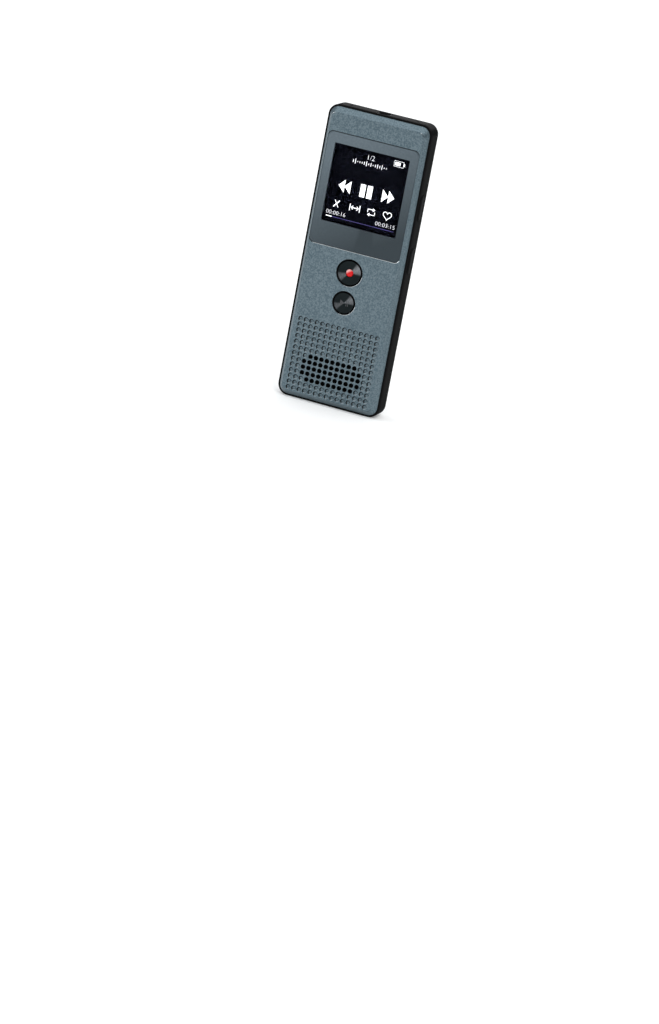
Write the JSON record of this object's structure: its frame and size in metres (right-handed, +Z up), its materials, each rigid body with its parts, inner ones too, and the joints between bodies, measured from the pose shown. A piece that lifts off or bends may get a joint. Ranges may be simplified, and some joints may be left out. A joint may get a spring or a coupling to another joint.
{
  "type": "handheld voice recorder",
  "caption": "Slim bar-shaped voice recorder with a square screen, two round front buttons, a pitted speaker grille, side keys, headphone and charging sockets.",
  "frame": {"origin": "centre of the bottom face's outline, with the recorder standing upright", "axes": "+Z up along the length towards the headphone socket, -Y out of the screen, +X to the right as seen from the front"},
  "size_m": [0.0332, 0.01, 0.0884],
  "materials": {
    "front_plate_anodised": "bead-blasted and anodised slate blue-grey",
    "lens_gloss": "smooth hard-coated, printed slate border round a clear window",
    "screen_glass": "black liquid crystal panel",
    "light_guide": "white light guide",
    "tray_steel": "pressed stainless steel",
    "flex_film": "amber polyimide film",
    "tape_black": "black adhesive tape and foam",
    "frame_black": "satin black, moulded and painted",
    "cover_black": "fine matte texture, black",
    "button_metal": "spun, black-chromed",
    "jewel_red": "clear red, polished",
    "key_black": "gloss black with a polished bevel",
    "screw_black": "blackened steel",
    "board_green": "green solder mask",
    "chip_black": "moulded epoxy packages",
    "can_metal": "plated steel",
    "connector_white": "moulded nylon",
    "capacitor_brown": "ceramic",
    "cell_foil": "pouch foil",
    "speaker_frame": "moulded black",
    "magnet_nickel": "nickel-plated",
    "cone_film": "thin film",
    "mesh_steel": "fine woven black mesh",
    "port_black": "moulded black",
    "boot_rubber": "soft black rubber"
  },
  "bodies": {
    "case": {"audio_chip": "chip_black", "back_cover": "cover_black", "battery_board": "board_green", "battery_cell": "cell_foil", "battery_connector": "connector_white", "battery_tape": "tape_black", "board_screws": "tray_steel", "capacitors": "capacitor_brown", "case_screws": "screw_black", "charger_chip": "chip_black", "crystal_can": "can_metal", "display_connector": "connector_white", "display_flex": "flex_film", "display_light": "light_guide", "display_panel": "screen_glass", "display_tray": "tray_steel", "front_plate": "front_plate_anodised", "grille_mesh": "mesh_steel", "headphone_jack": "port_black", "lens_adhesive": "tape_black", "main_board": "board_green", "memory_chip": "chip_black", "menu_switch": "can_metal", "mic_boot_left": "boot_rubber", "mic_boot_right": "boot_rubber", "microphone_left": "can_metal", "microphone_right": "can_metal", "mid_frame": "frame_black", "play_switch": "can_metal", "power_inductor": "chip_black", "power_switch": "can_metal", "processor_chip": "chip_black", "record_switch": "can_metal", "speaker_basket": "speaker_frame", "speaker_cone": "cone_film", "speaker_gasket": "tape_black", "speaker_magnet": "magnet_nickel", "usb_socket": "can_metal", "usb_tongue": "port_black", "volume_switch": "can_metal", "window_lens": "lens_gloss"},
    "record": {"record_button": "button_metal", "record_jewel": "jewel_red"},
    "play": {"play_button": "button_metal"},
    "volume": {"volume_key": "key_black"},
    "menu": {"menu_key": "key_black"},
    "power": {"power_knob": "key_black", "power_lever": "tray_steel"}
  },
  "joints": [
    {"name": "record_press", "type": "slide", "parent": "case", "child": "record", "axis": [0, 1, 0], "range_m": [0, 0.0003], "stiffness_N_per_m": 2000, "springref_m": -0.0005},
    {"name": "play_press", "type": "slide", "parent": "case", "child": "play", "axis": [0, 1, 0], "range_m": [0, 0.0003], "stiffness_N_per_m": 2000, "springref_m": -0.0005},
    {"name": "volume_press", "type": "slide", "parent": "case", "child": "volume", "axis": [-1, 0, 0], "range_m": [0, 0.0003], "stiffness_N_per_m": 2000, "springref_m": -0.0005},
    {"name": "menu_press", "type": "slide", "parent": "case", "child": "menu", "axis": [-1, 0, 0], "range_m": [0, 0.0003], "stiffness_N_per_m": 2000, "springref_m": -0.0005},
    {"name": "power_slide", "type": "slide", "parent": "case", "child": "power", "axis": [0, 0, 1], "range_m": [0, 0.002]}
  ]
}
